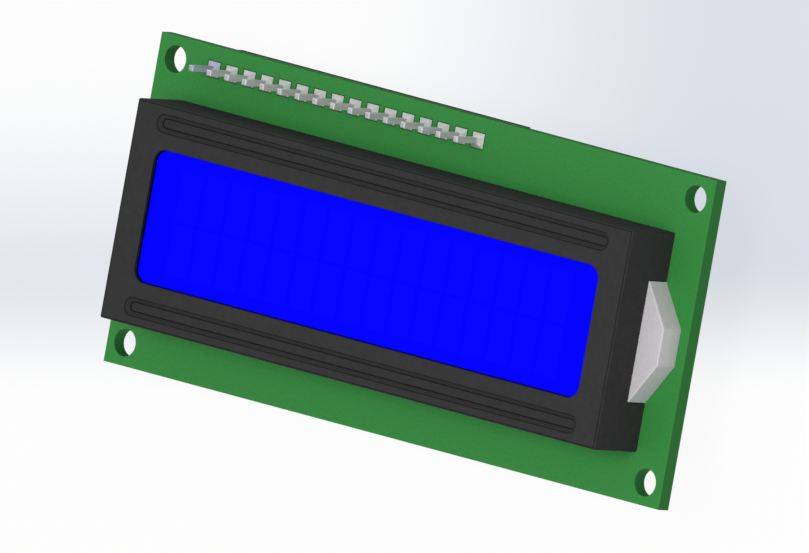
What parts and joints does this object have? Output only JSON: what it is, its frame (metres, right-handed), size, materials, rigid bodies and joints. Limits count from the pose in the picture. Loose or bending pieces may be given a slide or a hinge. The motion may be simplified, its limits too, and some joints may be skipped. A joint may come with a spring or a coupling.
{
  "type": "character lcd module",
  "caption": "Character display module: green board, black bezel over a blue liquid crystal cell, side backlight nose, pin header and a serial adapter board behind.",
  "frame": {"origin": "the middle of the four mounting holes, on the display board's front face", "axes": "+Z out of the display, +X along the board towards the backlight nose, +Y towards the pin header"},
  "size_m": [0.08, 0.036, 0.0176],
  "materials": {
    "green_board": "satin green lacquer on a glass-fibre board",
    "black_bezel": "smooth black enamel on folded steel",
    "blue_film": "deep blue lit film with a faint sheen",
    "cell_glass": "clear glass",
    "zebra_rubber": "soft rubber in fine dark and pale layers",
    "white_film": "matt white film",
    "milky_acrylic": "milky white moulding",
    "lamp_white": "white lamp package",
    "tinned_pin": "bright tin plate",
    "bluish_tin": "tin plate with a lavender cast",
    "solder": "smooth solder",
    "black_resin": "glossy poured resin",
    "resistor_black": "dark glaze",
    "capacitor_tan": "fired tan ceramic",
    "header_plastic": "moulded black plastic",
    "cap_plastic": "moulded black plastic",
    "spring_bronze": "plain bronze strip",
    "black_board": "black lacquer on a glass-fibre board",
    "chip_plastic": "fine matt moulding",
    "trimmer_blue": "blue moulding",
    "rotor_ivory": "ivory moulding",
    "lamp_red": "clear red lens"
  },
  "bodies": {
    "module": {"display_board": "green_board", "bezel_frame": "black_bezel", "front_polarizer": "blue_film", "front_glass": "cell_glass", "rear_glass": "cell_glass", "rear_polarizer": "blue_film", "zebra_strip_upper": "zebra_rubber", "zebra_strip_lower": "zebra_rubber", "diffuser_sheet": "white_film", "reflector_sheet": "white_film", "light_guide": "milky_acrylic", "backlight_led": "lamp_white", "backlight_leads": "tinned_pin", "backlight_joints": "solder", "controller_blob": "black_resin", "driver_blob": "black_resin", "display_resistors": "resistor_black", "adapter_resistors": "resistor_black", "adapter_capacitors": "capacitor_tan", "chip_terminals": "solder", "header_spacer": "header_plastic", "signal_header_block": "header_plastic", "jumper_header_block": "header_plastic", "first_front_joint": "bluish_tin", "front_joints": "solder", "rear_joints": "solder", "adapter_joints": "solder", "adapter_board": "black_board", "expander_chip": "chip_plastic", "expander_leads": "tinned_pin", "trimmer_body": "trimmer_blue", "trimmer_pins": "tinned_pin", "backlight_transistor": "chip_plastic", "power_led": "lamp_red", "header_pin_01": "bluish_tin", "header_pin_02": "tinned_pin", "header_pin_03": "tinned_pin", "header_pin_04": "tinned_pin", "header_pin_05": "tinned_pin", "header_pin_06": "tinned_pin", "header_pin_07": "tinned_pin", "header_pin_08": "tinned_pin", "header_pin_09": "tinned_pin", "header_pin_10": "tinned_pin", "header_pin_11": "tinned_pin", "header_pin_12": "tinned_pin", "header_pin_13": "tinned_pin", "header_pin_14": "tinned_pin", "header_pin_15": "tinned_pin", "header_pin_16": "tinned_pin", "signal_pin_1": "tinned_pin", "signal_pin_2": "tinned_pin", "signal_pin_3": "tinned_pin", "signal_pin_4": "tinned_pin", "jumper_pin_1": "tinned_pin", "jumper_pin_2": "tinned_pin"},
    "rotor": {"trimmer_rotor": "rotor_ivory"},
    "jumper": {"jumper_cap": "cap_plastic", "jumper_clip": "spring_bronze"}
  },
  "joints": [
    {"name": "trimmer_turn", "type": "hinge", "parent": "module", "child": "rotor", "pos_m": [-0.022, 0.00661, -0.01064], "axis": [0, 0, -1], "range_deg": [-130, 130]},
    {"name": "jumper_pull", "type": "slide", "parent": "module", "child": "jumper", "axis": [-1, 0, 0], "range_m": [0, 0.0065]}
  ]
}
